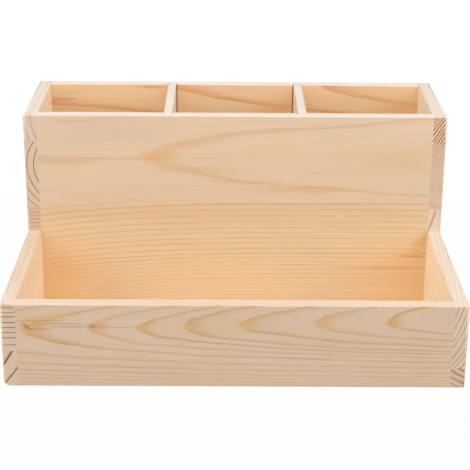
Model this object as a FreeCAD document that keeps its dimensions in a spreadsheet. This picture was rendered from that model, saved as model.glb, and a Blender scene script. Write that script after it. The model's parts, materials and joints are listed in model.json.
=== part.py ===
import FreeCAD, Part
import os
import Sketcher
from FreeCAD import Vector

# Pine desk organizer: a low open tray in front of three tall pen compartments.
# Right is +X, the back is +Y and up is +Z. The origin is on the floor, below the centre of the plan.
# Every panel but the front board is glued up edge to edge from solid pine strips, each a piece of its
# own. The bottom is a thin sheet of plywood between the walls, flush with their lower edges.

doc = FreeCAD.newDocument("desk_organizer")
sheet = doc.addObject("Spreadsheet::Sheet", "sizes")
subparts = []

# Driving sizes in millimetres: name, value, what it measures
driving_sizes = [
    ("width", 300, "outer face to outer face of the side panels"),
    ("depth", 230, "front face to rear face"),
    ("height", 144, "floor to the top of the pen compartments"),
    ("tray_height", 57.5, "floor to the top of the front tray"),
    ("tray_depth", 124.5, "front board to middle wall, inside the tray"),
    ("board", 9.5, "thickness of the sides and the upright boards"),
    ("bottom", 3, "thickness of the plywood bottom"),
    ("edge_round", 1.6, "rounding around the outer face of a side panel"),
    ("left_foot_seam", 25, "floor to the lowest glue line of the left side"),
    ("right_foot_seam", 14, "floor to the lowest glue line of the right side"),
    ("shoulder_seam", 75.5, "floor to the glue line of the sides above the tray"),
    ("wall_seam", 79.5, "floor to the glue line of the middle wall"),
    ("crown_strip", 19.5, "height of the topmost strip of the sides"),
    ("back_seam", 82, "floor to the glue line of the back wall"),
    ("divider_thickness", 6, "thickness of a lift-out divider"),
    ("groove_depth", 3.5, "depth of a divider's groove"),
    ("play_inner", 0.8, "gap in the groove on the centre compartment's side of a divider"),
    ("play_outer", 0.2, "gap in the groove on the other side of a divider"),
    ("play_end", 0.3, "gap between a divider's edge and the floor of its groove"),
    ("brad_length", 25, "whole length of a brad"),
    ("brad_shank", 1.2, "diameter of a brad's shank"),
    ("brad_head", 2.2, "diameter of a brad's head"),
    ("brad_head_thickness", 0.7, "thickness of a brad's head"),
    ("brad_set", 0.4, "how far a head is driven below the wood's surface"),
    ("brad_clearance", 0.02, "gap between a brad and the wood around it"),
    ("overrun", 2, "how far a cutter reaches past what it cuts"),
]

# Sizes that follow from the driving ones
derived_sizes = [
    ("inner_width", "width - 2 * board", "between the side panels"),
    ("inner_depth", "depth - 2 * board", "between the front board and the back wall"),
    ("front_face", "0 - depth / 2", "Y of the front face"),
    ("wall_setback", "board + tray_depth", "front face to the middle wall's front"),
    ("wall_face", "front_face + wall_setback", "Y of the middle wall's front"),
    ("back_face", "depth / 2 - board", "Y of the back wall's inner face"),
    ("pen_depth", "back_face - wall_face - board", "clear depth of a pen compartment"),
    ("pen_width", "(inner_width - 2 * divider_thickness) / 3", "clear width of a pen compartment"),
    ("wall_height", "height - bottom", "height of the middle wall and the dividers"),
]

# Brads through the side panels as shares of the board's height, and through the bottom of its width
front_brad_shares = (0.35, 0.8)
wall_brad_shares = (0.2, 0.38, 0.7)
bottom_brad_shares = (-0.37, -0.13, 0.13, 0.37)


def fill_sheet():
    formulas = [(name, "=" + formula, note) for name, formula, note in derived_sizes]
    for row, (name, content, note) in enumerate(driving_sizes + formulas, start=1):
        sheet.set("A%d" % row, name)
        sheet.set("B%d" % row, str(content))
        sheet.set("C%d" % row, note)
        sheet.setAlias("B%d" % row, name)
    doc.recompute()


def measure(expression):
    return float(sheet.evalExpression(expression))


def new_body(label, **corner):
    # A body whose own origin stands at the given corner of the organizer
    body = doc.addObject("PartDesign::Body", label)
    body.Label = label
    body.AllowCompound = True
    for axis, expression in corner.items():
        body.setExpression("Placement.Base." + axis, expression)
    return body


def origin_plane(body, role):
    return next(item for item in body.Origin.OriginFeatures if item.Role == role)


def new_sketch(body, role, name, offset=None):
    # A sketch on one of the body's own origin planes, moved along its normal where an offset is given
    sketch = body.newObject("Sketcher::SketchObject", name)
    sketch.AttachmentSupport = [(origin_plane(body, role), "")]
    sketch.MapMode = "FlatFace"
    if offset:
        sketch.setExpression("AttachmentOffset.Base.z", offset)
    return sketch


def tie(sketch, constraint, expression):
    number = sketch.addConstraint(constraint)
    sketch.setExpression("Constraints[%d]" % number, expression)


def draw_outline(sketch, corners):
    # A closed outline of straight sides, with both coordinates of each corner tied to the sheet
    points = [Vector(measure(across), measure(up), 0) for across, up in corners]
    following = points[1:] + points[:1]
    for start, end in zip(points, following):
        sketch.addGeometry(Part.LineSegment(start, end), False)
    for index, corner in enumerate(corners):
        previous = (index - 1) % len(corners)
        sketch.addConstraint(Sketcher.Constraint("Coincident", previous, 2, index, 1))
        for direction, expression in zip(("DistanceX", "DistanceY"), corner):
            tie(sketch, Sketcher.Constraint(direction, -1, 1, index, 1, measure(expression)), expression)


def draw_circles(sketch, centres, diameter):
    for across, up in centres:
        centre = Vector(measure(across), measure(up), 0)
        circle = sketch.addGeometry(Part.Circle(centre, Vector(0, 0, 1), measure(diameter) / 2), False)
        tie(sketch, Sketcher.Constraint("DistanceX", -1, 1, circle, 3, measure(across)), across)
        tie(sketch, Sketcher.Constraint("DistanceY", -1, 1, circle, 3, measure(up)), up)
        tie(sketch, Sketcher.Constraint("Diameter", circle, measure(diameter)), diameter)


def add_pad(body, sketch, length, reverse=False):
    pad = body.newObject("PartDesign::Pad", sketch.Name + "_pad")
    pad.Profile = sketch
    pad.Reversed = reverse
    pad.setExpression("Length", length)
    sketch.Visibility = False
    doc.recompute()
    return pad


def make_board(label, across, thickness, height, **corner):
    # An upright or flat board, centred on X: its plan is drawn on the floor and padded upwards
    body = new_body(label, **corner)
    plan = new_sketch(body, "XY_Plane", label + "_plan")
    right = across + " / 2"
    left = "0 - " + right
    draw_outline(plan, [(left, "0"), (right, "0"), (right, thickness), (left, thickness)])
    add_pad(body, plan, height)
    return body


def cut_grooves(body, near, far):
    # A full-height divider groove in the right half of a wall, then its mirror image in the left half
    before = body.Shape.Volume
    inner = "sizes.pen_width / 2 - sizes.play_inner"
    outer = "sizes.pen_width / 2 + sizes.divider_thickness + sizes.play_outer"
    plan = new_sketch(body, "XY_Plane", body.Label + "_groove")
    draw_outline(plan, [(inner, near), (outer, near), (outer, far), (inner, far)])
    groove = body.newObject("PartDesign::Pocket", plan.Name + "_cut")
    groove.Profile = plan
    groove.Type = "ThroughAll"
    groove.Reversed = True
    plan.Visibility = False
    doc.recompute()
    mirrored = body.newObject("PartDesign::Mirrored", plan.Name + "_pair")
    mirrored.Originals = [groove]
    mirrored.MirrorPlane = (origin_plane(body, "YZ_Plane"), [""])
    body.Tip = mirrored
    doc.recompute()
    if body.Shape.Volume >= before:
        raise RuntimeError("the grooves of %s cut nothing" % body.Label)


def mirror_to_left(source, label):
    image = doc.addObject("Part::Mirroring", label)
    image.Label = label
    image.Source = source
    image.Normal = Vector(1, 0, 0)
    return image


def make_brads(label, centres, head_from, gap, upwards=False):
    # Round-headed pins, one solid for each centre, driven inwards from the right side panel's outer
    # face, or upwards from the underside. Heads start head_from outside that face.
    if upwards:
        body, role, outwards = new_body(label, y="sizes.front_face"), "XY_Plane", "0 - (%s)"
    else:
        body = new_body(label, x="sizes.width / 2", y="sizes.front_face")
        role, outwards = "YZ_Plane", "%s"
    head = new_sketch(body, role, label + "_head", outwards % head_from)
    draw_circles(head, centres, "sizes.brad_head + 2 * " + gap)
    under_head = head_from + " + sizes.brad_set + sizes.brad_head_thickness + " + gap
    add_pad(body, head, under_head, reverse=not upwards)
    shank = new_sketch(body, role, label + "_shank", outwards % "0 - sizes.brad_set")
    draw_circles(shank, centres, "sizes.brad_shank + 2 * " + gap)
    add_pad(body, shank, "sizes.brad_length + " + gap, reverse=not upwards)
    return body


def drill(panel, *bores):
    # The panel less the bores that pass through it or end in it
    for count, bore in enumerate(bores, start=1):
        drilled = doc.addObject("Part::Cut", "%s_drilled_%d" % (panel.Label, count))
        drilled.Base = panel
        drilled.Tool = bore
        panel = drilled
    return panel


def cut_strip(panel, label, axis, low, high):
    # One glued strip of a panel: what lies between two planes across the given axis
    slab = doc.addObject("Part::Box", label + "_slab")
    spans = {
        "x": ("0 - sizes.width / 2 - sizes.overrun", "sizes.width + 2 * sizes.overrun"),
        "y": ("sizes.front_face - sizes.overrun", "sizes.depth + 2 * sizes.overrun"),
        "z": ("0 - sizes.overrun", "sizes.height + 2 * sizes.overrun"),
    }
    spans[axis] = (low, "(%s) - (%s)" % (high, low))
    for name, extent in zip("xyz", ("Length", "Width", "Height")):
        slab.setExpression("Placement.Base." + name, spans[name][0])
        slab.setExpression(extent, spans[name][1])
    strip = doc.addObject("Part::Common", label)
    strip.Label = label
    strip.Base = panel
    strip.Tool = slab
    subparts.append(strip)


def cut_strips(panel, axis, start, end, *pieces):
    # Divides a panel at its glue lines: each piece is its label and the glue line that ends it
    for label, seam in pieces:
        high = seam or end
        cut_strip(panel, label, axis, start, high)
        start = high


def make_side():
    # The stepped side panel, drawn from the right, with its outer face's edges rounded all round
    body = new_body("right_side_panel", x="sizes.width / 2 - sizes.board", y="sizes.front_face")
    profile = new_sketch(body, "YZ_Plane", "side_profile")
    draw_outline(profile, [
        ("0", "0"),
        ("sizes.depth", "0"),
        ("sizes.depth", "sizes.height"),
        ("sizes.wall_setback", "sizes.height"),
        ("sizes.wall_setback", "sizes.tray_height"),
        ("0", "sizes.tray_height"),
    ])
    pad = add_pad(body, profile, "sizes.board")
    middle_plane = pad.Shape.BoundBox.Center.x
    names = []
    for number, edge in enumerate(pad.Shape.Edges, start=1):
        if edge.BoundBox.XMin > middle_plane:
            names.append("Edge%d" % number)
    rounding = body.newObject("PartDesign::Fillet", "side_edge_rounding")
    rounding.Base = (pad, names)
    rounding.setExpression("Radius", "min(sizes.edge_round; sizes.board / 2)")
    doc.recompute()
    return body


def make_divider():
    # A divider stands on the bottom with both edges in grooves, and lifts straight out
    body = make_board(
        "right_divider",
        "sizes.divider_thickness",
        "sizes.pen_depth + 2 * (sizes.groove_depth - sizes.play_end)",
        "sizes.wall_height",
        x="(sizes.pen_width + sizes.divider_thickness) / 2",
        y="sizes.wall_face + sizes.board - sizes.groove_depth + sizes.play_end",
        z="sizes.bottom",
    )
    subparts.append(body)
    subparts.append(mirror_to_left(body, "left_divider"))


def brad_centres():
    # Centres of the rows in a side panel, as distance behind the front face and height above the floor
    half_board = "sizes.board / 2"
    behind_wall_face = "sizes.wall_setback + " + half_board
    before_rear_face = "sizes.depth - " + half_board
    wall_heights = ["sizes.height * %s" % share for share in wall_brad_shares]
    return {
        "front": [(half_board, "sizes.tray_height * %s" % share) for share in front_brad_shares],
        "middle": [(behind_wall_face, up) for up in wall_heights],
        "back": [(before_rear_face, up) for up in wall_heights],
    }


def bottom_brad_centres():
    # Centres in the underside, below the middle of the middle wall, from the left to the right
    behind_front_face = "sizes.wall_setback + sizes.board / 2"
    return [("sizes.inner_width * (%s)" % share, behind_front_face) for share in bottom_brad_shares]


def build():
    fill_sheet()
    centres = brad_centres()
    for place, row in centres.items():
        brads = make_brads("right_%s_brads" % place, row, "0 - sizes.brad_set", "0")
        subparts.append(brads)
        subparts.append(mirror_to_left(brads, "left_%s_brads" % place))
    every_centre = [centre for row in centres.values() for centre in row]
    right_bores = make_brads("right_brad_bores", every_centre, "sizes.overrun", "sizes.brad_clearance")
    left_bores = mirror_to_left(right_bores, "left_brad_bores")
    below = bottom_brad_centres()
    subparts.append(make_brads("bottom_brads", below, "0 - sizes.brad_set", "0", upwards=True))
    bottom_bores = make_brads(
        "bottom_brad_bores", below, "sizes.overrun", "sizes.brad_clearance", upwards=True
    )

    right_panel = make_side()
    left_panel = mirror_to_left(right_panel, "left_side_panel")
    for side, panel, bores in (("left", left_panel, left_bores), ("right", right_panel, right_bores)):
        cut_strips(
            drill(panel, bores), "z", "0", "sizes.height",
            (side + "_side_foot", "sizes.%s_foot_seam" % side),
            (side + "_side_step", "sizes.shoulder_seam"),
            (side + "_side_upper", "sizes.height - sizes.crown_strip"),
            (side + "_side_crown", None),
        )

    front = make_board(
        "front_board_blank", "sizes.inner_width", "sizes.board", "sizes.tray_height",
        y="sizes.front_face",
    )
    front = drill(front, left_bores, right_bores)
    front.Label = "front_board"
    subparts.append(front)

    middle = make_board(
        "middle_wall_panel", "sizes.inner_width", "sizes.board", "sizes.wall_height",
        y="sizes.wall_face", z="sizes.bottom",
    )
    cut_grooves(middle, "sizes.board - sizes.groove_depth", "sizes.board + sizes.overrun")
    cut_strips(
        drill(middle, left_bores, right_bores, bottom_bores), "z", "0", "sizes.height",
        ("middle_wall_lower", "sizes.wall_seam"),
        ("middle_wall_upper", None),
    )

    back = make_board(
        "back_wall_panel", "sizes.inner_width", "sizes.board", "sizes.height",
        y="sizes.back_face",
    )
    cut_grooves(back, "0 - sizes.overrun", "sizes.groove_depth")
    cut_strips(
        drill(back, left_bores, right_bores), "z", "0", "sizes.height",
        ("back_wall_lower", "sizes.back_seam"),
        ("back_wall_upper", None),
    )

    bottom = make_board(
        "bottom_sheet", "sizes.inner_width", "sizes.inner_depth", "sizes.bottom",
        y="sizes.front_face + sizes.board",
    )
    bottom = drill(bottom, bottom_bores)
    bottom.Label = "bottom_panel"
    subparts.append(bottom)
    make_divider()
    doc.recompute()


def check_and_write():
    for item in doc.Objects:
        if "Invalid" in item.State or "Error" in item.State:
            raise RuntimeError("%s did not build: %s" % (item.Label, item.State))
    for piece in subparts:
        if piece.Shape.isNull() or not piece.Shape.isValid() or not piece.Shape.Solids:
            raise RuntimeError("%s has no sound solid" % piece.Label)
    os.makedirs("parts", exist_ok=True)
    for piece in subparts:
        piece.Shape.exportStep("parts/%s.step" % piece.Label)
        print(piece.Label, len(piece.Shape.Solids), "solids", round(piece.Shape.Volume, 1), "mm3")


build()
check_and_write()
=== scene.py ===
import json
import math
import random

import bmesh
import bpy
from mathutils import Matrix, Vector
from mathutils.bvhtree import BVHTree


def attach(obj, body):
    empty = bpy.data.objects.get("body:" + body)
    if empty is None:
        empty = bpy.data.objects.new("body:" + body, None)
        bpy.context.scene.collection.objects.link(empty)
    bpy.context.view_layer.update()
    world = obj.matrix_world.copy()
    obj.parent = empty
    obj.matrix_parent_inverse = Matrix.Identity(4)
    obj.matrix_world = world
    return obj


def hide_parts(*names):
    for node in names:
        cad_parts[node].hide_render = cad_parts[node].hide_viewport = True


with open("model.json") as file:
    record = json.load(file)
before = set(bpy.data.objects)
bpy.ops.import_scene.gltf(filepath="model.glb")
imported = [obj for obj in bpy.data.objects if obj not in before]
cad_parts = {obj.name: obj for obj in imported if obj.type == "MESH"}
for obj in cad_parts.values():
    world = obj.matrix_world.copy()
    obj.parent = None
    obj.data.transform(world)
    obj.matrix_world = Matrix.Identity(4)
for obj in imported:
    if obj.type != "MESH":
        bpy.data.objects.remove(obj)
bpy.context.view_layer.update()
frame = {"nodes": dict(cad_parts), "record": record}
mm = 0.001


def feed(tree, socket, value):
    if isinstance(value, bpy.types.NodeSocket):
        tree.links.new(value, socket)
    else:
        socket.default_value = value


def addNode(tree, kind, inputs=None, **settings):
    made = tree.nodes.new(kind)
    for name, value in settings.items():
        setattr(made, name, value)
    for key, value in (inputs or {}).items():
        feed(tree, made.inputs[key], value)
    return made


def maths(tree, operation, *values, clamp=False):
    made = addNode(tree, "ShaderNodeMath", dict(enumerate(values)), operation=operation, use_clamp=clamp)
    return made.outputs[0]


def vectorMaths(tree, operation, *values):
    made = addNode(tree, "ShaderNodeVectorMath", dict(enumerate(values)), operation=operation)
    return made.outputs["Value" if operation in ("LENGTH", "DOT_PRODUCT") else "Vector"]


def ease(tree, value, low, high):
    made = addNode(
        tree, "ShaderNodeMapRange", {"Value": value, "From Min": low, "From Max": high},
        interpolation_type="SMOOTHSTEP",
    )
    return made.outputs[0]


def rescale(tree, value, low, high):
    return maths(tree, "ADD", maths(tree, "MULTIPLY", value, high - low), low)


def mixValues(tree, amount, first, second):
    made = addNode(tree, "ShaderNodeMix", {0: amount, 2: first, 3: second}, data_type="FLOAT")
    return made.outputs[0]


def blendColours(tree, amount, first, second):
    made = addNode(tree, "ShaderNodeMix", {0: amount, 6: first, 7: second}, data_type="RGBA")
    return made.outputs[2]


# the grain's noises: size across and along the log in millimetres, and how much detail each has
noiseSizes = {
    "drift": (55, 120, 1.0), "ripple": (9, 42, 2.0), "patch": (10, 45, 3.0), "fibre": (0.32, 11, 3.0),
    "streak": (1.4, 55, 3.0), "band": (4.0, 90, 2.0), "tone": (32, 110, 2.0), "speck": (0.6, 0.6, 2.0),
    "tint": (22, 70, 2.0), "ragged": (1.6, 16, 3.0),
}


def grainNoise(tree, log, kind, seed, output="Fac"):
    across, along, detail = noiseSizes[kind]
    stretched = vectorMaths(tree, "MULTIPLY", log, (1 / across, 1 / across, 1 / along))
    noise = addNode(
        tree, "ShaderNodeTexNoise", {"Vector": stretched, "W": seed, "Scale": 1.0, "Detail": detail},
        noise_dimensions="4D",
    )
    return noise.outputs[output]


def newGroup(name, inputs, outputs):
    group = bpy.data.node_groups.new(name, "ShaderNodeTree")
    for label, kind in inputs:
        group.interface.new_socket(label, in_out="INPUT", socket_type="NodeSocket" + kind)
    for label, kind in outputs:
        group.interface.new_socket(label, in_out="OUTPUT", socket_type="NodeSocket" + kind)
    return group, group.nodes.new("NodeGroupInput").outputs, group.nodes.new("NodeGroupOutput").inputs


def makeRadiusGroup():
    # log coordinates in millimetres to the distance from a pith that wanders as the tree grew
    group, given, result = newGroup(
        "pithDistance", [("Log", "Vector"), ("Wander", "Float"), ("Ripple", "Float"), ("Seed", "Float")],
        [("Radius", "Float")],
    )
    drift = grainNoise(group, given["Log"], "drift", given["Seed"], "Color")
    drift = vectorMaths(group, "SUBTRACT", drift, (0.5, 0.5, 0.5))
    drift = addNode(group, "ShaderNodeVectorMath", {0: drift, "Scale": given["Wander"]}, operation="SCALE")
    moved = vectorMaths(group, "ADD", given["Log"], drift.outputs[0])
    moved = vectorMaths(group, "MULTIPLY", moved, (1, 1, 0))
    ripple = maths(group, "SUBTRACT", grainNoise(group, given["Log"], "ripple", given["Seed"]), 0.5)
    ripple = maths(group, "MULTIPLY", ripple, given["Ripple"])
    feed(group, result["Radius"], maths(group, "ADD", vectorMaths(group, "LENGTH", moved), ripple))
    return group


# what the noises do to the wood: the range that each is brought to, and where soft edges start and end
figureLook = {
    "vigour": (0.7, 1.0), "patch": (0.2, 1.8), "fibre": (0.93, 1.07), "streak": (-0.05, 0.05),
    "band": (-0.045, 0.045), "tone": (-0.05, 0.05), "speck": (-0.12, 0.12), "green": (0.985, 1.015),
    "blue": (0.93, 1.07), "dulled": (0.4, 0.65), "lateFull": 0.97, "latePower": 1.4, "lateRelief": 0.5,
}


def makeFigureGroup():
    # ring count and place in the log to the wood's colour and its raised grain
    group, given, result = newGroup(
        "pineFigure",
        [
            ("Phase", "Float"), ("Strength", "Float"), ("Log", "Vector"), ("End", "Float"),
            ("Contrast", "Float"), ("Late Start", "Float"), ("Late Fade", "Float"), ("Growth", "Float"),
            ("Seed", "Float"), ("Early", "Color"), ("Late", "Color"), ("Dull", "Color"),
        ],
        [("Color", "Color"), ("Height", "Float")],
    )
    noises = {
        kind: grainNoise(group, given["Log"], kind, given["Seed"])
        for kind in ("patch", "fibre", "streak", "band", "tone", "speck", "tint")
    }
    share = maths(group, "FRACT", given["Phase"])
    count = maths(group, "ADD", maths(group, "FLOOR", given["Phase"]), given["Seed"])
    vigour = addNode(group, "ShaderNodeTexWhiteNoise", {"W": count}, noise_dimensions="1D").outputs["Value"]
    vigour = maths(group, "MULTIPLY", rescale(group, vigour, *figureLook["vigour"]), given["Strength"])
    rise = ease(group, share, given["Late Start"], figureLook["lateFull"])
    rise = maths(group, "POWER", rise, figureLook["latePower"])
    edge = ease(group, maths(group, "SUBTRACT", 1.0, share), 0.0, given["Late Fade"])
    late = maths(group, "MULTIPLY", maths(group, "MULTIPLY", rise, edge), vigour)
    late = maths(group, "MULTIPLY", late, rescale(group, noises["patch"], *figureLook["patch"]))
    late = maths(group, "MULTIPLY", late, given["Contrast"], clamp=True)

    growth = maths(group, "MULTIPLY", maths(group, "MULTIPLY", share, given["Growth"]), given["Strength"])
    body = blendColours(group, growth, given["Early"], given["Late"])
    tint = ease(group, noises["tint"], *figureLook["dulled"])
    dulled = maths(group, "MULTIPLY", tint, maths(group, "SUBTRACT", 1.0, given["End"]))
    colour = blendColours(group, late, body, blendColours(group, dulled, given["Late"], given["Dull"]))
    shade = rescale(group, noises["fibre"], *figureLook["fibre"])
    for kind in ("streak", "band", "tone"):
        shade = maths(group, "ADD", shade, rescale(group, noises[kind], *figureLook[kind]))
    specks = maths(group, "MULTIPLY", rescale(group, noises["speck"], *figureLook["speck"]), given["End"])
    shade = maths(group, "ADD", shade, specks)
    warmth = addNode(group, "ShaderNodeCombineXYZ", {
        "X": 1.0, "Y": rescale(group, noises["band"], *figureLook["green"]),
        "Z": rescale(group, noises["tone"], *figureLook["blue"]),
    }).outputs[0]
    colour = vectorMaths(group, "MULTIPLY", colour, warmth)
    shaded = addNode(group, "ShaderNodeVectorMath", {0: colour, "Scale": shade}, operation="SCALE")
    feed(group, result["Color"], shaded.outputs[0])
    relief = maths(group, "MULTIPLY", late, figureLook["lateRelief"])
    feed(group, result["Height"], maths(group, "ADD", relief, noises["fibre"]))
    return group


def srgb(red, green, blue):
    # a colour as an eye-dropper reads it, 0 to 255, to the linear values that a shader takes
    parts = [(part / 255 + 0.055) / 1.055 for part in (red, green, blue)]
    return tuple(part ** 2.4 for part in parts) + (1.0,)


pithDistance = makeRadiusGroup()
pineFigure = makeFigureGroup()

# a strip's place in its log, in millimetres: the way its grain runs, where the pith passes the middle
# of that way on the two other axes, how far it leans per millimetre, the bow that it takes to the left
# of a place, the places where its grain is pushed aside, and its rings as radius and strength, or one
# even width. The colours are for its faces, its end grain, its top edge, which is painted paler with
# weaker grain as a painted sheen, and its outward face
pineDefaults = {
    "early": srgb(226, 203, 174), "late": srgb(206, 160, 106), "dull": srgb(192, 156, 118), "contrast": 0.8,
    "endEarly": srgb(222, 197, 171), "endLate": srgb(146, 102, 76), "endContrast": 1.0,
    "topSheenEarly": srgb(229, 214, 199), "topSheenContrast": 0.3,
    "lateStart": 0.6, "lateFade": 0.06, "growth": 0.08,
    "wander": 3.0, "ripple": 0.6, "ring": 3.5, "rings": None, "lean": (0.02, 0.02), "bow": None,
    "seed": 1.0, "stainsAndShade": (), "pushes": (), "outward": None, "outEarly": srgb(224, 199, 170),
    "outContrast": 0.6,
}
ringUnevenness = {"reach": 3.2, "amount": 1.6}  # both in rings, for strips whose rings aren't listed
strengthStep = 1 / 500  # of the rings' whole reach: there one ring's strength gives way to the next
stainAndShadeLook = {"ragged": 0.9, "edge": 0.8, "seed": 5}
surfaceLook = {
    "endFace": (0.35, 0.8), "sheenTopFace": (0.3, 0.9), "outFace": (0.1, 0.5),
    "roughness": 0.6, "specular": 0.3, "bump": 0.25, "bumpDepth": 0.12 * mm,
}


def ringSeries(start, count, first, last, seed):
    # ring radii whose widths run from the first to the last, never quite even
    chance = random.Random(seed)
    radius, rings = start, []
    for step in range(count):
        rings.append((radius, chance.uniform(0.55, 1.0)))
        radius += (first + (last - first) * step / (count - 1)) * chance.uniform(0.82, 1.18)
    return tuple(rings)


def ovalReach(tree, position, place, size, slant=0.0):
    # how far out in an oval a point lies: 0 at its middle and 1 at its rim
    offset = vectorMaths(tree, "SUBTRACT", position, tuple(part * mm for part in place))
    if slant:
        upright = addNode(tree, "ShaderNodeSeparateXYZ", {0: offset}).outputs[2]
        leaning = addNode(tree, "ShaderNodeCombineXYZ", {"X": maths(tree, "MULTIPLY", upright, slant)})
        offset = vectorMaths(tree, "SUBTRACT", offset, leaning.outputs[0])
    scaled = vectorMaths(tree, "MULTIPLY", offset, tuple(1 / (part * mm) for part in size))
    return vectorMaths(tree, "LENGTH", scaled)


def shiftPosition(tree, position, shift, amount):
    whole = tuple(part * mm for part in shift)
    moved = addNode(tree, "ShaderNodeVectorMath", {0: whole, "Scale": amount}, operation="SCALE")
    return vectorMaths(tree, "ADD", position, moved.outputs[0])


def logMapping(tree, wood):
    # the object's metres to millimetres in the log, with the pith along its third axis
    axis = "xyz".index(wood["grain"])
    others = [index for index in range(3) if index != axis]
    pith, heading = Vector(), Vector()
    heading[axis] = 1.0
    for index, place, slope in zip(others, wood["pith"], wood["lean"]):
        pith[index] = place
        heading[index] = slope
    turn = heading.rotation_difference(Vector((0, 0, 1))).to_matrix()
    position = addNode(tree, "ShaderNodeTexCoord").outputs["Object"]
    if wood["bow"]:
        bow = wood["bow"]  # its depth is what it reaches 100 mm from the place where it starts
        along = addNode(tree, "ShaderNodeSeparateXYZ", {0: position}).outputs[axis]
        past = maths(tree, "DIVIDE", maths(tree, "SUBTRACT", bow["from"] * mm, along), 100 * mm)
        amount = maths(tree, "POWER", maths(tree, "MAXIMUM", past, 0.0), bow["power"])
        bend = [0.0, 0.0, 0.0]
        bend[others[bow["side"]]] = bow["depth"]
        position = shiftPosition(tree, position, bend, amount)
    for push in wood["pushes"]:
        reach = ovalReach(tree, position, push["place"], push["size"])
        amount = ease(tree, maths(tree, "SUBTRACT", 1.0, reach), 0.0, 1.0)
        position = shiftPosition(tree, position, [-part for part in push["by"]], amount)
    mapping = addNode(tree, "ShaderNodeMapping", {
        "Vector": position, "Location": -(turn @ pith), "Rotation": turn.to_euler(), "Scale": (1 / mm,) * 3,
    })
    return mapping.outputs[0], heading.normalized()


def radiusCurve(tree, radius, points, reach, top):
    # a curve through points of radius and value, over radii up to the reach and values up to the top
    curve = tree.nodes.new("ShaderNodeFloatCurve")
    line = curve.mapping.curves[0]
    line.points[0].location = (0.0, points[0][1] / top)
    line.points[-1].location = (1.0, points[-1][1] / top)
    for size, value in points[1:-1]:
        line.points.new(size / reach, value / top)
    for point in line.points:
        point.handle_type = "VECTOR"
    curve.mapping.update()
    feed(tree, curve.inputs["Value"], maths(tree, "DIVIDE", radius, reach))
    return maths(tree, "MULTIPLY", curve.outputs[0], top)


def ringPhase(tree, radius, wood):
    # the distance from the pith to a count of rings and the strength of the ring there
    rings = wood["rings"]
    if not rings:
        along = maths(tree, "DIVIDE", radius, wood["ring"] * ringUnevenness["reach"])
        uneven = addNode(tree, "ShaderNodeTexNoise", {"W": along, "Scale": 1.0}, noise_dimensions="1D")
        uneven = maths(tree, "MULTIPLY", uneven.outputs["Fac"], ringUnevenness["amount"])
        return maths(tree, "ADD", maths(tree, "DIVIDE", radius, wood["ring"]), uneven), 1.0
    sizes = [size for size, strength in rings]
    low, high = 2 * sizes[0] - sizes[1], 2 * sizes[-1] - sizes[-2]
    reach = high - low
    above = maths(tree, "SUBTRACT", radius, low)
    phases = [(0.0, 0)] + [(size - low, count) for count, size in enumerate(sizes, 1)]
    phases.append((reach, len(sizes) + 1))
    strengths, below = [], 0.0
    for size, strength in (*rings, (high, 0.0)):
        strengths += [(below, strength), (size - low, strength)]
        below = size - low + reach * strengthStep
    strongest = max(strength for size, strength in strengths)
    return (
        radiusCurve(tree, above, phases, reach, len(sizes) + 1),
        radiusCurve(tree, above, strengths, reach, strongest),
    )


def stainAndShade(place, size, tone, strength, slant=0.0):
    # a pin knot, a resin streak, a patch of deeper colour, or a patch of painted shade where a corner is
    # shaded: millimetres, and a colour as seen
    return {"place": place, "size": size, "tone": srgb(*tone), "strength": strength, "slant": slant}


def addStainAndShade(tree, colour, log, spot, seed):
    position = addNode(tree, "ShaderNodeTexCoord").outputs["Object"]
    reach = ovalReach(tree, position, spot["place"], spot["size"], spot["slant"])
    ragged = maths(tree, "SUBTRACT", grainNoise(tree, log, "ragged", seed + stainAndShadeLook["seed"]), 0.5)
    reach = maths(tree, "ADD", reach, maths(tree, "MULTIPLY", ragged, stainAndShadeLook["ragged"]))
    amount = ease(tree, maths(tree, "SUBTRACT", 1.0, reach), 0.0, stainAndShadeLook["edge"])
    return blendColours(tree, maths(tree, "MULTIPLY", amount, spot["strength"]), colour, spot["tone"])


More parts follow.
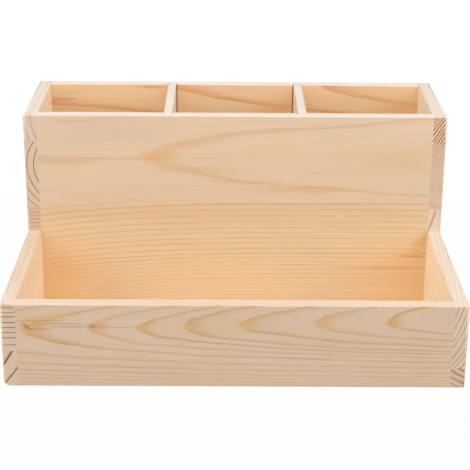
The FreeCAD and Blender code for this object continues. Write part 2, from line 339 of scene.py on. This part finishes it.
def makePine(name, wood):
    wood = dict(pineDefaults, **wood)
    material = bpy.data.materials.new(name)
    material.use_nodes = True
    tree = material.node_tree
    tree.nodes.clear()
    log, heading = logMapping(tree, wood)
    radius = addNode(tree, "ShaderNodeGroup", node_tree=pithDistance)
    for key, value in {
        "Log": log, "Wander": wood["wander"], "Ripple": wood["ripple"], "Seed": wood["seed"],
    }.items():
        feed(tree, radius.inputs[key], value)
    phase, strength = ringPhase(tree, radius.outputs["Radius"], wood)
    normal = addNode(tree, "ShaderNodeTexCoord").outputs["Normal"]
    end = maths(tree, "ABSOLUTE", vectorMaths(tree, "DOT_PRODUCT", normal, tuple(heading)))
    end = ease(tree, end, *surfaceLook["endFace"])
    # painted sheen: top faces are blended to a paler colour with weaker grain, standing in for light
    # glancing off them
    top = ease(tree, vectorMaths(tree, "DOT_PRODUCT", normal, (0, 0, 1)), *surfaceLook["sheenTopFace"])
    contrast = mixValues(tree, end, wood["contrast"], wood["endContrast"])
    early = blendColours(tree, end, wood["early"], wood["endEarly"])
    # outward faces and their rounding take the plainer wood colour, while a side strip's inner faces carry
    # painted light
    if wood["outward"]:
        outside = vectorMaths(tree, "DOT_PRODUCT", normal, wood["outward"])
        outside = ease(tree, outside, *surfaceLook["outFace"])
        early = blendColours(tree, outside, early, wood["outEarly"])
        contrast = mixValues(tree, outside, contrast, wood["outContrast"])
    figure = addNode(tree, "ShaderNodeGroup", node_tree=pineFigure)
    for key, value in {
        "Phase": phase, "Strength": strength, "Log": log, "End": end, "Seed": wood["seed"],
        "Contrast": mixValues(tree, top, contrast, wood["topSheenContrast"]), "Growth": wood["growth"],
        "Late Start": wood["lateStart"], "Late Fade": wood["lateFade"],
        "Early": blendColours(tree, top, early, wood["topSheenEarly"]),
        "Late": blendColours(tree, end, wood["late"], wood["endLate"]), "Dull": wood["dull"],
    }.items():
        feed(tree, figure.inputs[key], value)
    colour = figure.outputs["Color"]
    for spot in wood["stainsAndShade"]:
        colour = addStainAndShade(tree, colour, log, spot, wood["seed"])
    bump = addNode(tree, "ShaderNodeBump", {
        "Height": figure.outputs["Height"], "Strength": surfaceLook["bump"],
        "Distance": surfaceLook["bumpDepth"],
    })
    surface = addNode(tree, "ShaderNodeBsdfPrincipled", {
        "Base Color": colour, "Roughness": surfaceLook["roughness"],
        "Specular IOR Level": surfaceLook["specular"], "Normal": bump.outputs[0],
    })
    addNode(tree, "ShaderNodeOutputMaterial", {"Surface": surface.outputs[0]})
    return material


sideWoods = {
    "left_side_foot": {
        "pith": (-207.4, 60.7), "seed": 3.0, "wander": 0.6, "lateStart": 0.5, "lateFade": 0.12,
        "endContrast": 2.2, "endLate": srgb(138, 90, 64),
        "rings": ((66.0, 0.4), (70.0, 0.0), (75.0, 1.0), (79.0, 0.0), (83.4, 0.65), (92.0, 0.3)),
    },
    "left_side_step": {
        "pith": (-134.7, -60), "lean": (0.09, 0.012), "seed": 4.0, "wander": 0.6, "ripple": 0.3,
        "endContrast": 1.4, "topSheenContrast": 0.7, "topSheenEarly": srgb(224, 203, 181),
        "rings": ((91.3, 0.7), (96.3, 0.8), (99.7, 0.8), (103.4, 0.9), (106.9, 1.0), (110.9, 0.9),
                  (113.8, 0.7), (117.3, 0.9), (118.8, 0.9), (121.1, 0.8), (123.9, 0.9), (126.7, 0.8),
                  (129.3, 0.7), (131.7, 0.9), (135.0, 0.6)),
        "stainsAndShade": (
            stainAndShade((-145.2, 19, 66), (14, 4, 24), (216, 172, 138), 0.46),
            stainAndShade((-144.6, -48, 57.5), (2.4, 44, 4), (216, 178, 148), 0.45),
            stainAndShade((-145, -4, 57.5), (7, 34, 4), (209, 182, 154), 0.5),
            stainAndShade((-146, -94, 57.5), (7, 26, 4), (233, 216, 199), 0.55),
        ),
    },
    "left_side_upper": {
        "pith": (-118.1, 107.0), "lean": (0.01, 0.0), "seed": 5.0, "wander": 0.5, "ripple": 0.3,
        "endContrast": 1.3, "lateStart": 0.75,
        "rings": tuple((radius, 1.0) for radius in (21.5, 26.4, 31.2, 35.7, 40.2, 44.5)),
    },
    "left_side_crown": {
        "pith": (-95, 147), "seed": 6.0, "wander": 1.0, "lateStart": 0.55, "lateFade": 0.2,
        "endContrast": 0.9, "endEarly": srgb(221, 198, 177), "endLate": srgb(176, 122, 98),
        "rings": ((42.0, 0.3), (46.5, 0.4), (51.7, 1.0), (57.0, 0.7)),
    },
    "right_side_foot": {
        "pith": (175, 62), "lean": (0.02, 0.03), "seed": 7.0, "wander": 1.0, "lateStart": 0.5,
        "endContrast": 1.3, "endEarly": srgb(220, 190, 164), "endLate": srgb(162, 112, 84),
    },
    "right_side_step": {
        "pith": (65.8, 78), "lean": (0.07, 0.01), "seed": 8.0, "wander": 1.5, "ripple": 1.5, "ring": 3.1,
        "late": srgb(196, 162, 132), "dull": srgb(180, 150, 126), "endEarly": srgb(226, 201, 177),
        "endLate": srgb(146, 110, 90), "endContrast": 0.8, "topSheenEarly": srgb(225, 208, 188),
        "topSheenContrast": 0.32,
        "stainsAndShade": (
            stainAndShade((145.2, 19, 66), (14, 4, 26), (236, 211, 190), 0.85),
            stainAndShade((143.6, 19, 67), (1.5, 6, 15), (174, 128, 108), 0.65, slant=0.31),
            stainAndShade((149.0, 19, 67), (1.6, 6, 20), (206, 172, 150), 0.5),
        ),
    },
    "right_side_upper": {
        "pith": (204, 44), "seed": 9.0, "wander": 1.5, "ripple": 0.3, "ring": 1.3, "lateStart": 0.45,
        "endContrast": 0.95, "endEarly": srgb(223, 191, 164), "endLate": srgb(160, 108, 80),
        "stainsAndShade": (
            stainAndShade((145.2, 19, 101), (16, 4, 14), (224, 193, 166), 0.5),
            stainAndShade((145.2, 19, 84), (16, 4, 11), (232, 204, 182), 0.45),
        ),
    },
    "right_side_crown": {
        "pith": (215.5, 88), "seed": 10.0, "wander": 1.6, "ripple": 0.8, "lateStart": 0.3,
        "endContrast": 3.0, "endEarly": srgb(236, 206, 174), "endLate": srgb(142, 82, 52),
        "rings": ringSeries(70, 14, 2.3, 1.4, 2),
    },
}
# painted light: the side strips' inner faces get brighter colours than the plain wood, brightest in the
# pens, with their grain nearly hidden, standing in for the light and warm bounce inside the tray and pens
innerPaintedLight = {"left": srgb(244, 220, 188), "right": srgb(247, 228, 198), "pens": srgb(255, 234, 203)}
for name, wood in sideWoods.items():
    side, strip = name.split("_side_")
    inner = "pens" if strip in ("upper", "crown") else side
    outward = (-1 if side == "left" else 1, 0, 0)
    wood.update({"early": innerPaintedLight[inner], "contrast": 0.07, "outward": outward})

crossWoods = {
    "front_board": {
        "pith": (-89, 44.7), "lean": (-0.065, 0.024), "seed": 11.0, "wander": 1.4, "ripple": 1.4,
        "bow": {"side": 1, "from": 100, "depth": 0.5, "power": 2.0},
        "pushes": ({"place": (120, -115, 54), "size": (50, 20, 12), "by": (0, 0, 3.2)},),
        "early": srgb(223, 195, 169), "late": srgb(210, 160, 100), "lateStart": 0.5, "contrast": 0.85,
        "dull": srgb(194, 154, 118), "topSheenEarly": srgb(225, 204, 183), "growth": 0.06,
        "rings": ((13.0, 0.3), (18.0, 0.0), (19.8, 1.0), (22.7, 0.8), (25.6, 0.95), (28.2, 1.0),
                  (29.8, 1.1), (32.0, 0.8), (34.7, 0.9), (38.5, 0.7), (41.7, 0.7), (44.4, 0.8),
                  (46.4, 0.6), (48.4, 0.7), (50.2, 0.6), (52.0, 0.7), (54.0, 0.6)),
        "stainsAndShade": (
            stainAndShade((-129, -115, 43.6), (14, 5, 7.5), (222, 166, 100), 0.6),
            stainAndShade((-133.4, -115, 42.2), (2.2, 5, 3.2), (178, 112, 76), 0.75, slant=-1.1),
            stainAndShade((-122, -115, 46.4), (22, 5, 0.5), (168, 122, 100), 0.6),
            stainAndShade((-110, -115, 44.3), (24, 5, 0.5), (160, 112, 92), 0.6),
            stainAndShade((-104, -115, 42.2), (26, 5, 0.5), (160, 116, 94), 0.6),
            stainAndShade((-126, -115, 40.6), (16, 5, 0.5), (168, 124, 100), 0.6),
            stainAndShade((-88, -115, 42.6), (9, 5, 4.6), (216, 164, 108), 0.6),
            stainAndShade((-91, -115, 42.4), (4, 5, 2.0), (188, 130, 90), 0.7),
            stainAndShade((-76, -115, 42.0), (20, 5, 0.5), (174, 132, 104), 0.5),
            stainAndShade((-14, -115, 43), (40, 5, 9), (224, 186, 136), 0.4),
            stainAndShade((-118, -115, 49), (18, 5, 5), (220, 180, 112), 0.45, slant=3),
            *(stainAndShade((x, -115, z), (12, 5, 5), (224, 180, 116), 0.42)
              for x, z in ((-58.5, 41.9), (-27.5, 42), (8, 44), (56, 46.3), (101.5, 46.5))),
        ),
    },
    "middle_wall_upper": {
        "pith": (75.2, 112.8), "lean": (-0.035, 0.0), "seed": 12.0, "wander": 1.5, "ripple": 1.2,
        "bow": {"side": 0, "from": -10, "depth": -0.95, "power": 2.0},
        "pushes": ({"place": (10, 19, 131), "size": (78, 40, 19), "by": (0, 0, 3.6)},
                   {"place": (140, 19, 141), "size": (66, 40, 19), "by": (0, 0, 4.0)}),
        "early": srgb(226, 200, 170), "late": srgb(210, 160, 100), "dull": srgb(196, 158, 112),
        "topSheenEarly": srgb(232, 218, 204), "topSheenContrast": 0.2, "contrast": 0.8, "growth": 0.05,
        "lateStart": 0.3, "lateFade": 0.3,
        "rings": ((40.0, 0.2), (50.0, 0.0), (52.8, 0.35), (56.6, 0.0), (58.9, 0.85), (65.0, 0.0),
                  (67.5, 0.35), (80.0, 0.0)),
        "stainsAndShade": (
            stainAndShade((-128, 19, 111.0), (48, 6, 5.0), (212, 170, 118), 0.55),
            stainAndShade((-80, 19, 112.4), (50, 6, 1.0), (208, 168, 116), 0.4),
            stainAndShade((-112, 19, 140.5), (40, 6, 1.4), (214, 174, 128), 0.5),
            stainAndShade((-54, 19, 113.6), (21, 6, 7.0), (224, 178, 116), 0.58),
            stainAndShade((-30, 19, 123.5), (30, 6, 4.0), (224, 180, 122), 0.4, slant=4.2),
            stainAndShade((14, 19, 132), (30, 6, 3.0), (224, 182, 126), 0.3, slant=6.0),
            stainAndShade((-98, 19, 133), (70, 6, 17), (219, 188, 166), 0.4),
            stainAndShade((-22, 19, 104), (34, 6, 4.0), (226, 184, 124), 0.5, slant=-4.4),
            stainAndShade((-20, 19, 113), (22, 6, 1.2), (214, 172, 124), 0.35),
            stainAndShade((6, 19, 94.6), (30, 6, 3.4), (222, 176, 114), 0.4, slant=-4.1),
            stainAndShade((52, 19, 89.8), (52, 6, 4.2), (218, 172, 112), 0.55),
            stainAndShade((110, 19, 114), (64, 6, 9.5), (226, 190, 138), 0.38),
            stainAndShade((28, 19, 115), (44, 6, 8), (226, 192, 146), 0.3),
        ),
    },
    "middle_wall_lower": {
        "pith": (59, 130), "lean": (0.0, 0.0), "seed": 13.0, "wander": 1.2, "ripple": 1.2,
        "bow": {"side": 1, "from": 70, "depth": 1.1, "power": 3.0},
        "rings": ((57.9, 0.6), *ringSeries(61.8, 32, 4.2, 1.6, 7)),
        "early": srgb(231, 202, 165), "late": srgb(200, 146, 90), "dull": srgb(196, 150, 104),
        "contrast": 0.72, "lateStart": 0.62,
        "stainsAndShade": (
            stainAndShade((0, 19, 72), (240, 6, 13), (222, 180, 141), 0.3),
            # painted shade: deeper orange patches in the tray's back corners, where the sides shade the
            # wall and the light bounces warm
            stainAndShade((-146, 19, 26), (70, 6, 42), (246, 196, 124), 0.47),
            stainAndShade((146, 19, 25), (90, 6, 40), (246, 196, 124), 0.45),
            stainAndShade((131.5, 19, 38.4), (16, 6, 1.3), (220, 156, 84), 0.9),
            stainAndShade((134, 19, 41.0), (16, 6, 3.0), (228, 172, 104), 0.4),
            stainAndShade((136, 19, 50.0), (7, 6, 12.0), (222, 172, 116), 0.5, slant=0.5),
            stainAndShade((77, 19, 69.0), (5, 6, 1.8), (236, 212, 182), 0.6),
            stainAndShade((-12, 19, 18), (130, 6, 30), (246, 210, 158), 0.36),
            stainAndShade((-122, 19, 79), (70, 6, 5.5), (227, 196, 164), 0.6),
            stainAndShade((122, 19, 8), (50, 6, 15), (252, 210, 152), 0.45),
            stainAndShade((-126, 19, 8), (44, 6, 15), (252, 212, 154), 0.4),
            stainAndShade((112, 19, 29.3), (56, 6, 1.1), (220, 148, 82), 0.6),
            stainAndShade((45, 19, 31.3), (22, 6, 0.8), (222, 160, 96), 0.5),
        ),
    },
    "back_wall_upper": {
        "pith": (158.5, 145.5), "lean": (-0.042, 0.0), "seed": 14.0, "wander": 1.0,
        "bow": {"side": 1, "from": -60, "depth": 8.3, "power": 3.0},
        "early": srgb(238, 201, 157), "late": srgb(212, 136, 68), "dull": srgb(204, 136, 80),
        "topSheenEarly": srgb(236, 224, 210), "topSheenContrast": 0.25, "contrast": 0.75, "growth": 0.1,
        "lateStart": 0.35, "lateFade": 0.1,
        "rings": ((46.0, 0.5), (48.0, 0.0), (50.3, 0.8), (52.4, 0.0), (55.0, 1.0), (58.0, 0.0),
                  (60.6, 1.0), (62.6, 0.0), (65.0, 0.6)),
        "stainsAndShade": (
            stainAndShade((-62, 105.5, 142.2), (18, 4, 1.8), (206, 140, 80), 0.6),
            stainAndShade((-131, 105.5, 132), (16, 4, 1.8), (218, 146, 82), 0.5),
            stainAndShade((-126, 105.5, 138.2), (14, 4, 0.9), (224, 166, 104), 0.45),
            stainAndShade((34, 105.5, 126), (26, 4, 8), (238, 178, 118), 0.5),
            stainAndShade((128, 105.5, 126), (26, 4, 8), (238, 178, 118), 0.5),
            stainAndShade((-106, 105.5, 125), (44, 4, 6), (238, 182, 122), 0.35),
        ),
    },
    "back_wall_lower": {
        "pith": (135, 40), "ring": 3.6, "lean": (-0.03, 0.02), "seed": 15.0,
        "early": srgb(236, 204, 164), "late": srgb(206, 150, 98),
    },
}
dividerWoods = {
    "left_divider": {"pith": (-20, 125), "ring": 4.2, "lean": (0.02, 0.03), "seed": 19.0},
    "right_divider": {"pith": (20, 130), "ring": 3.8, "lean": (-0.02, 0.02), "seed": 20.0},
}
for wood in dividerWoods.values():
    wood.update({
        "early": srgb(246, 222, 194), "topSheenEarly": srgb(238, 225, 213), "topSheenContrast": 0.5,
        "endLate": srgb(190, 156, 132), "lateStart": 0.5, "contrast": 0.3, "wander": 4.0,
    })

woods = {}
for grain, group in (("y", sideWoods), ("x", crossWoods), ("z", dividerWoods)):
    for piece, wood in group.items():
        woods[piece] = dict(wood, grain=grain)
print("pine for", len(woods), "strips")


veneer = {
    "ply": 1.0, "sheet": {
        "grain": "x", "pith": (0, -150), "ring": 2.4, "lean": (0.004, 0.012), "wander": 9.0, "seed": 16.0,
        "early": srgb(232, 206, 172), "late": srgb(208, 168, 122), "contrast": 0.6,
    },
    "along": srgb(222, 190, 150), "across": srgb(184, 142, 104), "glue": srgb(150, 112, 80),
    "glueLine": 0.12, "crossed": 1, "sawnFace": (0.8, 0.4),
}


def makePlywood(name):
    # thin pine sheets laid crosswise, which show as stripes on every sawn edge
    material = makePine(name, veneer["sheet"])
    tree = material.node_tree
    surface = next(node for node in tree.nodes if node.type == "BSDF_PRINCIPLED")
    sheet = surface.inputs["Base Color"].links[0].from_socket
    coordinates = addNode(tree, "ShaderNodeTexCoord").outputs
    layers = addNode(tree, "ShaderNodeSeparateXYZ", {0: coordinates["Object"]}).outputs[2]
    layers = maths(tree, "DIVIDE", layers, veneer["ply"] * mm)
    crosswise = maths(tree, "COMPARE", maths(tree, "FLOOR", layers), veneer["crossed"], 0.1)
    inLayer = maths(tree, "FRACT", layers)
    toGlue = maths(tree, "MINIMUM", inLayer, maths(tree, "SUBTRACT", 1.0, inLayer))
    glued = maths(tree, "LESS_THAN", toGlue, veneer["glueLine"])
    stripe = blendColours(tree, crosswise, veneer["along"], veneer["across"])
    stripe = blendColours(tree, glued, stripe, veneer["glue"])
    level = addNode(tree, "ShaderNodeSeparateXYZ", {0: coordinates["Normal"]}).outputs[2]
    sawn = ease(tree, maths(tree, "ABSOLUTE", level), *veneer["sawnFace"])
    feed(tree, surface.inputs["Base Color"], blendColours(tree, sawn, sheet, stripe))
    return material


weld = {"distance": 0.001 * mm, "flat": math.radians(0.5)}


def weldedMesh(name):
    skin = bmesh.new()
    skin.from_mesh(frame["nodes"][name].data)
    bmesh.ops.remove_doubles(skin, verts=skin.verts, dist=weld["distance"])
    return skin


def boardSkin(name):
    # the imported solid's surface as one closed skin with its flat faces whole
    skin = weldedMesh(name)
    bmesh.ops.dissolve_limit(skin, angle_limit=weld["flat"], verts=skin.verts, edges=skin.edges)
    return skin


skins = {name: boardSkin(name) for name in [*woods, "bottom_panel"]}
probes = {name: BVHTree.FromBMesh(skin) for name, skin in skins.items()}
sightLine = {"way": Vector((0.31, 0.23, 0.92)).normalized(), "most": 40, "nudge": 0.01 * mm}


def insideWood(point, besides):
    # a line out of a solid crosses its skin an odd number of times
    for name, probe in probes.items():
        if name == besides:
            continue
        crossings, start = 0, point.copy()
        while crossings < sightLine["most"]:
            hit = probe.ray_cast(start, sightLine["way"])[0]
            if hit is None:
                break
            crossings += 1
            start = hit + sightLine["way"] * sightLine["nudge"]
        if crossings % 2:
            return True
    return False


arris = {
    "radius": 0.45 * mm, "segments": 3, "profile": 0.5, "probe": 0.05 * mm, "shortest": 4 * mm,
    "leastAngle": math.radians(25), "flat": 0.999,
}


def openArrises(name, skin):
    # the edges that a hand could run along: both their faces meet the air, not a glued neighbour
    found = []
    for edge in skin.edges:
        if len(edge.link_faces) != 2 or edge.calc_length() < arris["shortest"]:
            continue
        if not edge.is_convex or edge.calc_face_angle() < arris["leastAngle"]:
            continue
        middle = (edge.verts[0].co + edge.verts[1].co) / 2
        first, second = (face.normal * arris["probe"] for face in edge.link_faces)
        if insideWood(middle + first - second, name) or insideWood(middle + second - first, name):
            continue
        found.append(edge)
    return found


wornEdge = {"piece": "left_side_foot", "side": -1, "radius": 4.5 * mm, "steps": 6, "slack": 1e-7}


def wearEdge(skin):
    # the lowest outer edge of the left side, rubbed rounder than the others
    reach, side = wornEdge["radius"], wornEdge["side"]
    outer = max(abs(vertex.co.x) for vertex in skin.verts)
    centre = Vector((side * (outer - reach), reach))
    for step in range(wornEdge["steps"]):
        turn = math.pi / 2 * step / wornEdge["steps"]
        for cut, across in ((math.sin(turn), (1, 0, 0)), (math.cos(turn), (0, 0, 1))):
            bmesh.ops.bisect_plane(
                skin, geom=skin.verts[:] + skin.edges[:] + skin.faces[:], dist=wornEdge["slack"],
                plane_co=(centre.x + side * reach * cut, 0, centre.y - reach * cut), plane_no=across,
            )
    for vertex in skin.verts:
        arm = Vector((vertex.co.x, vertex.co.z)) - centre
        if arm.x * side > 0 > arm.y and arm.length > reach:
            vertex.co.x, vertex.co.z = centre + arm.normalized() * reach


def makeBoard(name, material):
    skin = skins[name]
    if name == wornEdge["piece"]:
        wearEdge(skin)
    bmesh.ops.bevel(
        skin, geom=openArrises(name, skin), offset=arris["radius"], segments=arris["segments"],
        profile=arris["profile"], affect="EDGES", clamp_overlap=True,
    )
    mesh = bpy.data.meshes.new(name + "_board")
    skin.to_mesh(mesh)
    for face in mesh.polygons:
        face.use_smooth = max(abs(part) for part in face.normal) < arris["flat"]
    mesh.materials.append(material)
    board = bpy.data.objects.new(name + "_board", mesh)
    bpy.context.scene.collection.objects.link(board)
    return board


def bakeModifiers(piece):
    bpy.context.view_layer.update()
    evaluated = piece.evaluated_get(bpy.context.evaluated_depsgraph_get())
    mesh = bpy.data.meshes.new_from_object(evaluated)
    piece.modifiers.clear()
    piece.data = mesh
    return piece


homes = {node: body for body, nodes in frame["record"]["behaviour"]["bodies"].items() for node in nodes}
dress = {name: makePine(name + "_pine", wood) for name, wood in woods.items()}
dress["bottom_panel"] = makePlywood("bottom_panel_plywood")
boards = {}
for name, material in dress.items():
    boards[name] = makeBoard(name, material)
    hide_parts(name)
    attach(boards[name], homes[name])
faces = sum(len(board.data.polygons) for board in boards.values())
print("boards made:", len(boards), "with", faces, "faces")


# radii and lengths in millimetres, named as the node group's inputs
bradShape = {
    "Shank": 0.59, "Head": 1.09, "Head Thickness": 0.69, "Length": 24.98, "Point": 1.6, "Rim": 0.15,
}
bradSides = 20
bradWays = {"left": (1, 0, 0), "right": (-1, 0, 0), "bottom": (0, 0, 1)}  # the way that each row was driven
bradNodes = [name for name in frame["nodes"] if name.endswith("brads")]


def bradSpots():
    # the middle of each brad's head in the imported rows, and the way that it was driven
    spots = []
    for name in bradNodes:
        skin = weldedMesh(name)
        driven = Vector(bradWays[name.split("_")[0]])
        seen = set()
        for first in skin.verts:
            if first in seen:
                continue
            corners, front = [], [first]
            while front:
                vertex = front.pop()
                if vertex not in seen:
                    seen.add(vertex)
                    corners.append(vertex.co)
                    front.extend(edge.other_vert(vertex) for edge in vertex.link_edges)
            lowest = Vector([min(corner[axis] for corner in corners) for axis in range(3)])
            highest = Vector([max(corner[axis] for corner in corners) for axis in range(3)])
            middle = (lowest + highest) / 2
            back = min((corner - middle).dot(driven) for corner in corners)
            spots.append((middle + driven * back, driven))
        skin.free()
    return spots


def makeBradTree():
    # a lathe profile turned into one round-headed, pointed brad and set on every spot
    tree = bpy.data.node_groups.new("bradRow", "GeometryNodeTree")
    tree.interface.new_socket("Spots", in_out="INPUT", socket_type="NodeSocketGeometry")
    for label in bradShape:
        tree.interface.new_socket(label, in_out="INPUT", socket_type="NodeSocketFloat")
    tree.interface.new_socket("Steel", in_out="INPUT", socket_type="NodeSocketMaterial")
    tree.interface.new_socket("Brads", in_out="OUTPUT", socket_type="NodeSocketGeometry")
    given = tree.nodes.new("NodeGroupInput").outputs
    result = tree.nodes.new("NodeGroupOutput").inputs

    def cone(top, bottom, low, high):
        depth = maths(tree, "SUBTRACT", high, low)
        shape = addNode(tree, "GeometryNodeMeshCone", {
            "Vertices": bradSides, "Radius Top": top, "Radius Bottom": bottom, "Depth": depth,
        }, fill_type="NGON")
        place = addNode(tree, "ShaderNodeCombineXYZ", {"Z": low}).outputs[0]
        return addNode(
            tree, "GeometryNodeTransform", {"Geometry": shape.outputs["Mesh"], "Translation": place}
        ).outputs[0]

    inner = maths(tree, "SUBTRACT", given["Head"], given["Rim"])
    neck = maths(tree, "SUBTRACT", given["Length"], given["Point"])
    join = tree.nodes.new("GeometryNodeJoinGeometry")
    for part in (
        cone(given["Head"], inner, 0.0, given["Rim"]),
        cone(given["Head"], given["Head"], given["Rim"], given["Head Thickness"]),
        cone(given["Shank"], given["Shank"], given["Head Thickness"], neck),
        cone(0.0, given["Shank"], neck, given["Length"]),
    ):
        tree.links.new(part, join.inputs[0])
    facing = addNode(tree, "GeometryNodeInputNamedAttribute", {"Name": "driven"}, data_type="FLOAT_VECTOR")
    turn = addNode(tree, "FunctionNodeAlignRotationToVector", {"Vector": facing.outputs[0]}, axis="Z")
    rows = addNode(tree, "GeometryNodeInstanceOnPoints", {
        "Points": given["Spots"], "Instance": join.outputs[0], "Rotation": turn.outputs[0],
    })
    real = addNode(tree, "GeometryNodeRealizeInstances", {0: rows.outputs[0]})
    dressed = addNode(tree, "GeometryNodeSetMaterial", {
        "Geometry": real.outputs[0], "Material": given["Steel"],
    })
    tree.links.new(dressed.outputs[0], result[0])
    return tree


steel = {
    "scuffs": 2600.0, "detail": 3.0, "dark": srgb(150, 148, 146), "bright": srgb(186, 184, 182),
    "roughness": (0.28, 0.5), "bump": 0.3, "bumpDepth": 0.03 * mm,
}


def makeSteel():
    material = bpy.data.materials.new("bradSteel")
    material.use_nodes = True
    tree = material.node_tree
    tree.nodes.clear()
    position = addNode(tree, "ShaderNodeTexCoord").outputs["Object"]
    scuff = addNode(tree, "ShaderNodeTexNoise", {
        "Vector": position, "Scale": steel["scuffs"], "Detail": steel["detail"],
    }).outputs["Fac"]
    bump = addNode(tree, "ShaderNodeBump", {
        "Height": scuff, "Strength": steel["bump"], "Distance": steel["bumpDepth"],
    })
    surface = addNode(tree, "ShaderNodeBsdfPrincipled", {
        "Base Color": blendColours(tree, scuff, steel["dark"], steel["bright"]), "Metallic": 1.0,
        "Roughness": rescale(tree, scuff, *steel["roughness"]), "Normal": bump.outputs[0],
    })
    addNode(tree, "ShaderNodeOutputMaterial", {"Surface": surface.outputs[0]})
    return material


def makeBrads():
    spots = bradSpots()
    mesh = bpy.data.meshes.new("brad_spots")
    mesh.from_pydata([place for place, driven in spots], [], [])
    heading = mesh.attributes.new("driven", "FLOAT_VECTOR", "POINT")
    for index, (place, driven) in enumerate(spots):
        heading.data[index].vector = driven
    brads = bpy.data.objects.new("brads", mesh)
    bpy.context.scene.collection.objects.link(brads)
    tree = makeBradTree()
    rows = brads.modifiers.new("rows", "NODES")
    rows.node_group = tree
    settings = {label: size * mm for label, size in bradShape.items()}
    settings["Steel"] = makeSteel()
    for socket in tree.interface.items_tree:
        if socket.in_out == "INPUT" and socket.name in settings:
            rows[socket.identifier] = settings[socket.name]
    bakeModifiers(brads)
    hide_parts(*bradNodes)
    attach(brads, "carcass")
    print("brads set:", len(spots), "with", len(brads.data.polygons), "faces")


makeBrads()


# the camera as fitted to the object's corners in the photo, angles in degrees
studio = {
    "lens": 104.711, "sensor": 36.0, "place": (-4.611 * mm, -910.996 * mm, 410.623 * mm),
    "yaw": 0.3098, "pitch": 20.9588, "roll": 0.4079, "skyLight": 0.47, "white": (1, 1, 1, 1),
    "floorHalf": 3.0, "floorLevel": -0.1 * mm, "paper": (0.5, 0.5, 0.5, 1),
    "shadowEdge": (0.15, 0.4), "glow": (0.97, 1.0), "lampAim": (0, 0, 0.05),
}
softboxes = {
    "overhead": {"place": (0.0, -0.42, 0.85), "size": (1.5, 0.7), "power": 4.0},
    "front": {"place": (0.0, -1.5, 0.7), "size": (1.6, 1.0), "power": 4.8},
    "left": {"place": (-0.9, -0.22, 0.6), "size": (0.6, 0.6), "power": 3.9},
    "right": {"place": (0.9, -0.22, 0.6), "size": (0.6, 0.6), "power": 3.9},
}


def makeCamera():
    camera = bpy.data.objects.new("camera", bpy.data.cameras.new("camera"))
    bpy.context.scene.collection.objects.link(camera)
    yaw, pitch, roll = (math.radians(studio[key]) for key in ("yaw", "pitch", "roll"))
    forward = Vector((math.sin(yaw) * math.cos(pitch), math.cos(yaw) * math.cos(pitch), -math.sin(pitch)))
    right = Vector((math.cos(yaw), -math.sin(yaw), 0))
    up = right.cross(forward)
    across = right * math.cos(roll) + up * math.sin(roll)
    rising = up * math.cos(roll) - right * math.sin(roll)
    turn = Matrix((across, rising, -forward)).transposed()
    camera.matrix_world = Matrix.Translation(studio["place"]) @ turn.to_4x4()
    camera.data.sensor_width = studio["sensor"]
    camera.data.lens = studio["lens"]
    bpy.context.scene.camera = camera


def seenDirectly(tree):
    # 1 for what the camera sees, straight or by a mirror or glass, and 0 for light on its way to the wood
    path = addNode(tree, "ShaderNodeLightPath").outputs
    direct = maths(tree, "MAXIMUM", path["Is Camera Ray"], path["Is Glossy Ray"])
    return maths(tree, "MAXIMUM", direct, path["Is Transmission Ray"])


def makeWorld():
    world = bpy.data.worlds.new("studio")
    world.use_nodes = True
    tree = world.node_tree
    tree.nodes.clear()
    light, seen = (
        addNode(tree, "ShaderNodeBackground", {"Color": studio["white"], "Strength": strength}).outputs[0]
        for strength in (studio["skyLight"], 1.0)
    )
    both = addNode(tree, "ShaderNodeMixShader", {0: seenDirectly(tree), 1: light, 2: seen})
    addNode(tree, "ShaderNodeOutputWorld", {"Surface": both.outputs[0]})
    bpy.context.scene.world = world


def makeFloor():
    half = studio["floorHalf"]
    corners = [(x * half, y * half, studio["floorLevel"]) for x, y in ((-1, -1), (1, -1), (1, 1), (-1, 1))]
    mesh = bpy.data.meshes.new("floor")
    mesh.from_pydata(corners, [], [(0, 1, 2, 3)])
    floor = bpy.data.objects.new("floor", mesh)
    bpy.context.scene.collection.objects.link(floor)
    material = bpy.data.materials.new("whitePaper")
    material.use_nodes = True
    tree = material.node_tree
    tree.nodes.clear()
    paper = addNode(tree, "ShaderNodeBsdfDiffuse", {"Color": studio["paper"]})
    glow = addNode(tree, "ShaderNodeEmission", {"Color": studio["white"], "Strength": 1.0})
    position = addNode(tree, "ShaderNodeTexCoord").outputs["Object"]
    distance = ease(tree, vectorMaths(tree, "LENGTH", position), *studio["shadowEdge"])
    amount = maths(tree, "MULTIPLY", seenDirectly(tree), rescale(tree, distance, *studio["glow"]))
    both = addNode(tree, "ShaderNodeMixShader", {0: amount, 1: paper.outputs[0], 2: glow.outputs[0]})
    addNode(tree, "ShaderNodeOutputMaterial", {"Surface": both.outputs[0]})
    mesh.materials.append(material)


def makeSoftbox(name, box):
    light = bpy.data.lights.new(name, "AREA")
    light.shape = "RECTANGLE"
    light.size, light.size_y = box["size"]
    light.energy = box["power"]
    lamp = bpy.data.objects.new(name, light)
    bpy.context.scene.collection.objects.link(lamp)
    lamp.location = box["place"]
    facing = Vector(studio["lampAim"]) - lamp.location
    lamp.rotation_euler = facing.to_track_quat("-Z", "Y").to_euler()


bpy.context.scene.view_settings.view_transform = "Standard"
makeCamera()
makeWorld()
makeFloor()
for name, box in softboxes.items():
    makeSoftbox(name, box)
print("studio ready")
